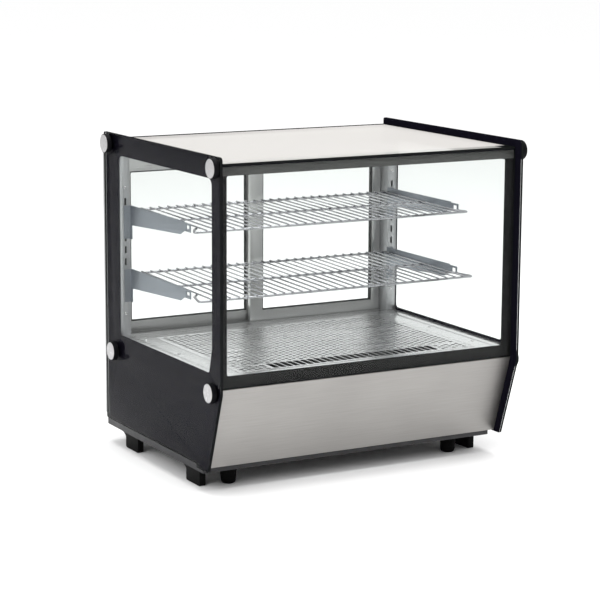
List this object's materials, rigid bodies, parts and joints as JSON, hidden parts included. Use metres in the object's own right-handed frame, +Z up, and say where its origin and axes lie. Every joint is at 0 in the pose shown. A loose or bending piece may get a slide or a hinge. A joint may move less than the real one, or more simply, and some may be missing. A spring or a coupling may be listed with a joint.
{
  "type": "countertop food display case",
  "caption": "Heated countertop glass display case with tilted wire shelves, perforated deck, sloping stainless front panel and sliding rear doors.",
  "frame": {"origin": "On the counter, under the middle of the whole case", "axes": "+X to the customer's right along the front glass, +Y from the customer to the server, +Z up"},
  "size_m": [0.702, 0.568, 0.66],
  "materials": {
    "case_glass": "clear tempered glass with polished edges",
    "black_print": "black ceramic print fired on the inner side of the glass",
    "cap_metal": "turned aluminium cap with a satin face and a black side",
    "brushed_panel": "stainless sheet brushed along its length",
    "black_base": "black powder coat",
    "foot_plastic": "black moulded plastic",
    "foot_rubber": "black rubber",
    "polished_deck": "bright stainless sheet",
    "perforated_sheet": "stainless perforated sheet",
    "post_steel": "brushed stainless, drawn lengthways",
    "header_steel": "brushed stainless",
    "rear_sheet": "brushed stainless",
    "door_track": "satin anodised extrusion",
    "door_aluminium": "satin anodised extrusion",
    "door_pane": "clear glass",
    "pull_plastic": "black plastic",
    "chrome_wire": "bright chrome plate",
    "bracket_steel": "satin stainless sheet",
    "control_plastic": "black moulded plastic",
    "button_plastic": "dark grey membrane button",
    "rocker_plastic": "black moulded rocker",
    "gland_plastic": "black nylon",
    "fan_plastic": "black moulded plastic",
    "rotor_plastic": "black moulded plastic",
    "heater_sheath": "heat-tinted steel sheath",
    "lamp_metal": "satin aluminium channel",
    "lamp_diffuser": "opal diffuser"
  },
  "bodies": {
    "case": {"base_pan": "black_base", "base_side_left": "black_base", "base_side_right": "black_base", "blade_foot_front_left": "foot_plastic", "blade_foot_front_right": "foot_plastic", "blade_foot_rear_left": "foot_plastic", "blade_foot_rear_right": "foot_plastic", "cable_gland": "gland_plastic", "cap_left_low_front": "cap_metal", "cap_left_low_rear": "cap_metal", "cap_left_top_front": "cap_metal", "cap_left_top_rear": "cap_metal", "cap_right_low_front": "cap_metal", "cap_right_low_rear": "cap_metal", "cap_right_top_front": "cap_metal", "cap_right_top_rear": "cap_metal", "control_plate": "control_plastic", "deck_frame": "polished_deck", "deck_insert": "perforated_sheet", "door_head": "door_track", "door_sill": "door_track", "fan_housing": "fan_plastic", "front_border": "black_print", "front_glass": "case_glass", "front_panel": "brushed_panel", "heater_element": "heater_sheath", "lamp_housing": "lamp_metal", "lamp_lens": "lamp_diffuser", "lower_bracket_left": "bracket_steel", "lower_bracket_right": "bracket_steel", "lower_shelf": "chrome_wire", "rear_header": "header_steel", "rear_panel": "rear_sheet", "rear_post_left": "post_steel", "rear_post_right": "post_steel", "round_foot_front_left": "foot_rubber", "round_foot_front_right": "foot_rubber", "round_foot_rear_left": "foot_rubber", "round_foot_rear_right": "foot_rubber", "side_border_left": "black_print", "side_border_right": "black_print", "side_glass_left": "case_glass", "side_glass_right": "case_glass", "top_border": "black_print", "top_glass": "case_glass", "upper_bracket_left": "bracket_steel", "upper_bracket_right": "bracket_steel", "upper_shelf": "chrome_wire"},
    "inner_door": {"inner_door_frame": "door_aluminium", "inner_door_glass": "door_pane", "inner_door_pull": "pull_plastic"},
    "outer_door": {"outer_door_frame": "door_aluminium", "outer_door_glass": "door_pane", "outer_door_pull": "pull_plastic"},
    "power_rocker": {"power_rocker": "rocker_plastic"},
    "lamp_rocker": {"lamp_rocker": "rocker_plastic"},
    "button_set": {"button_set": "button_plastic"},
    "button_down": {"button_down": "button_plastic"},
    "button_up": {"button_up": "button_plastic"},
    "fan_rotor": {"fan_rotor": "rotor_plastic"}
  },
  "joints": [
    {"name": "inner_door_slide", "type": "slide", "parent": "case", "child": "inner_door", "axis": [1, 0, 0], "range_m": [-0.2935, 0]},
    {"name": "outer_door_slide", "type": "slide", "parent": "case", "child": "outer_door", "axis": [1, 0, 0], "range_m": [0, 0.2935]},
    {"name": "power_rocker_hinge", "type": "hinge", "parent": "case", "child": "power_rocker", "pos_m": [0.228, 0.2648, 0.159], "axis": [1, 0, 0], "range_deg": [0, 16]},
    {"name": "lamp_rocker_hinge", "type": "hinge", "parent": "case", "child": "lamp_rocker", "pos_m": [0.204, 0.2648, 0.159], "axis": [1, 0, 0], "range_deg": [0, 16]},
    {"name": "button_set_press", "type": "slide", "parent": "case", "child": "button_set", "axis": [0, 1, 0], "range_m": [-0.001, 0], "stiffness_N_per_m": 300},
    {"name": "button_down_press", "type": "slide", "parent": "case", "child": "button_down", "axis": [0, 1, 0], "range_m": [-0.001, 0], "stiffness_N_per_m": 300},
    {"name": "button_up_press", "type": "slide", "parent": "case", "child": "button_up", "axis": [0, 1, 0], "range_m": [-0.001, 0], "stiffness_N_per_m": 300},
    {"name": "fan_spin", "type": "hinge", "parent": "case", "child": "fan_rotor", "pos_m": [0, 0.079, 0.0978], "axis": [0, 1, 0], "continuous": true}
  ]
}
